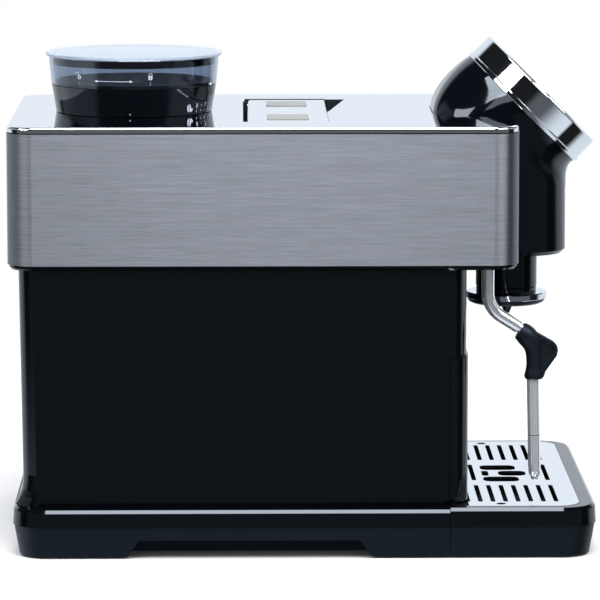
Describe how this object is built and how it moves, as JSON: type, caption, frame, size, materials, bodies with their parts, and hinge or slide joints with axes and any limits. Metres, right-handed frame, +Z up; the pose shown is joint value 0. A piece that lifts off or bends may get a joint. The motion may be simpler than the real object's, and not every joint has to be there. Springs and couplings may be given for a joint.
{
  "type": "espresso machine",
  "caption": "Bean-to-cup espresso machine with brushed steel upper band, black body, smoked bean hopper, tilted round dial, steam wand and slotted drip tray.",
  "frame": {"origin": "middle of the bounding box at worktop level", "axes": "+Z up, -Y the front with the outlet and drip tray, -X the side with the steam wand"},
  "size_m": [0.29, 0.4399, 0.3743],
  "materials": {
    "steel_brushed": "fine horizontal brushing",
    "steel_polished": "mirror polished plate",
    "chrome": "polished chrome",
    "grid_steel": "satin stamped steel",
    "sheet_steel": "plain zinc-coated sheet",
    "burr_steel": "hardened steel",
    "gloss_black": "piano black gloss",
    "satin_black": "satin moulded",
    "inner_black": "fine textured",
    "inner_grey": "moulded",
    "smoked_clear": "smoked transparent plastic",
    "smoked_black": "smoked plastic too dark to see through",
    "display_black": "black display glass",
    "pad_grey": "satin grey",
    "rubber": "matt rubber",
    "boiler_alu": "cast",
    "hose": "silicone and braid",
    "circuit_green": "solder-masked board"
  },
  "bodies": {
    "machine": {"base_band": "gloss_black", "base_screws": "sheet_steel", "base_skirt": "satin_black", "boilers": "boiler_alu", "brew_cylinder": "inner_grey", "brew_frame": "inner_black", "brew_valve": "inner_grey", "circuit_boards": "circuit_green", "column_shell": "gloss_black", "display_glass": "display_black", "front_upper_panel": "gloss_black", "grinder_housing": "inner_black", "grinder_motor": "sheet_steel", "grounds_chute": "inner_black", "hinge_pins": "burr_steel", "hoses": "hose", "inner_brackets": "sheet_steel", "left_side_panel": "gloss_black", "lid_well": "inner_black", "plate_gasket": "rubber", "pod_flange": "chrome", "power_entry": "satin_black", "pump": "sheet_steel", "rear_bulkhead": "inner_grey", "rear_panel": "satin_black", "right_side_panel": "gloss_black", "rubber_feet": "rubber", "top_plate": "steel_polished", "upper_burr": "burr_steel", "upper_chassis": "sheet_steel", "upper_trim": "gloss_black", "upper_wrap": "steel_brushed", "wand_seat": "inner_grey"},
    "dial": {"dial_ring": "chrome"},
    "button": {"centre_button": "chrome"},
    "collar": {"grind_collar": "smoked_black"},
    "hopper": {"hopper_bowl": "smoked_clear", "hopper_funnel": "inner_black"},
    "bean_lid": {"hopper_lid": "smoked_clear"},
    "powder_lid": {"service_lid": "steel_polished", "lid_pads": "pad_grey"},
    "outlet": {"outlet_neck": "gloss_black", "outlet_ring": "chrome", "outlet_dish": "satin_black"},
    "wand": {"wand_tube": "chrome", "wand_grip": "rubber", "wand_tip": "chrome"},
    "drawer": {"drawer_front": "gloss_black"},
    "grounds_bin": {"grounds_container": "inner_black"},
    "drip_tray": {"tray_skirt": "satin_black", "tray_rim": "gloss_black", "tray_basin": "satin_black"},
    "grid": {"drip_grid": "grid_steel"},
    "tank": {"water_tank": "smoked_clear", "tank_lid": "satin_black"},
    "door": {"service_door": "gloss_black"},
    "piston": {"brew_piston": "inner_grey"},
    "screw": {"brew_screw": "burr_steel"},
    "burr": {"lower_burr": "burr_steel"},
    "rocker": {"power_rocker": "inner_black"}
  },
  "joints": [
    {"name": "dial_turn", "type": "hinge", "parent": "machine", "child": "dial", "pos_m": [0, -0.166, 0.3204], "axis": [0, -0.7071, 0.7071], "continuous": true},
    {"name": "button_press", "type": "slide", "parent": "machine", "child": "button", "axis": [0, 0.7071, -0.7071], "range_m": [0, 0.0015], "stiffness_N_per_m": 600, "springref_m": -0.001},
    {"name": "grind_setting_turn", "type": "hinge", "parent": "machine", "child": "collar", "pos_m": [0, 0.1292, 0.34], "axis": [0, 0, 1], "range_deg": [-120, 40]},
    {"name": "hopper_lock_turn", "type": "hinge", "parent": "machine", "child": "hopper", "pos_m": [0, 0.1292, 0.34], "axis": [0, 0, 1], "range_deg": [0, 54]},
    {"name": "bean_lid_lift", "type": "slide", "parent": "hopper", "child": "bean_lid", "axis": [0, 0, 1], "range_m": [0, 0.06]},
    {"name": "powder_lid_hinge", "type": "hinge", "parent": "machine", "child": "powder_lid", "pos_m": [0, 0.0412, 0.3158], "axis": [-1, 0, 0], "range_deg": [0, 95]},
    {"name": "outlet_height", "type": "slide", "parent": "machine", "child": "outlet", "axis": [0, 0, 1], "range_m": [-0.012, 0.025]},
    {"name": "wand_swivel", "type": "hinge", "parent": "machine", "child": "wand", "pos_m": [-0.086, -0.1356, 0.232], "axis": [0, 0, 1], "range_deg": [-45, 35]},
    {"name": "drawer_slide", "type": "slide", "parent": "machine", "child": "drawer", "axis": [0, -1, 0], "range_m": [0, 0.03]},
    {"name": "grounds_bin_lift", "type": "slide", "parent": "drawer", "child": "grounds_bin", "axis": [0, 0, 1], "range_m": [0, 0.011]},
    {"name": "drip_tray_slide", "type": "slide", "parent": "drawer", "child": "drip_tray", "axis": [0, -1, 0], "range_m": [0, 0.13]},
    {"name": "grid_lift", "type": "slide", "parent": "drip_tray", "child": "grid", "axis": [0, 0, 1], "range_m": [0, 0.008]},
    {"name": "tank_slide", "type": "slide", "parent": "machine", "child": "tank", "axis": [0, 1, 0], "range_m": [0, 0.11]},
    {"name": "service_door_hinge", "type": "hinge", "parent": "machine", "child": "door", "pos_m": [0.1263, 0.088, 0.127], "axis": [0, 0, 1], "range_deg": [0, 95]},
    {"name": "piston_lift", "type": "slide", "parent": "machine", "child": "piston", "axis": [0, 0, 1], "range_m": [0, 0.033]},
    {"name": "screw_turn", "type": "hinge", "parent": "machine", "child": "screw", "pos_m": [0.088, 0.014, 0.12], "axis": [0, 0, 1], "range_deg": [0, 1000]},
    {"name": "burr_spin", "type": "hinge", "parent": "machine", "child": "burr", "pos_m": [0, 0.1292, 0.285], "axis": [0, 0, 1], "continuous": true},
    {"name": "power_rocker_tilt", "type": "hinge", "parent": "machine", "child": "rocker", "pos_m": [0.086, 0.2072, 0.108], "axis": [0, 0, 1], "range_deg": [0, 10]}
  ],
  "couplings": [
    {"joint": "screw_turn", "follows": "piston_lift", "rad_per_m": 523.6}
  ]
}
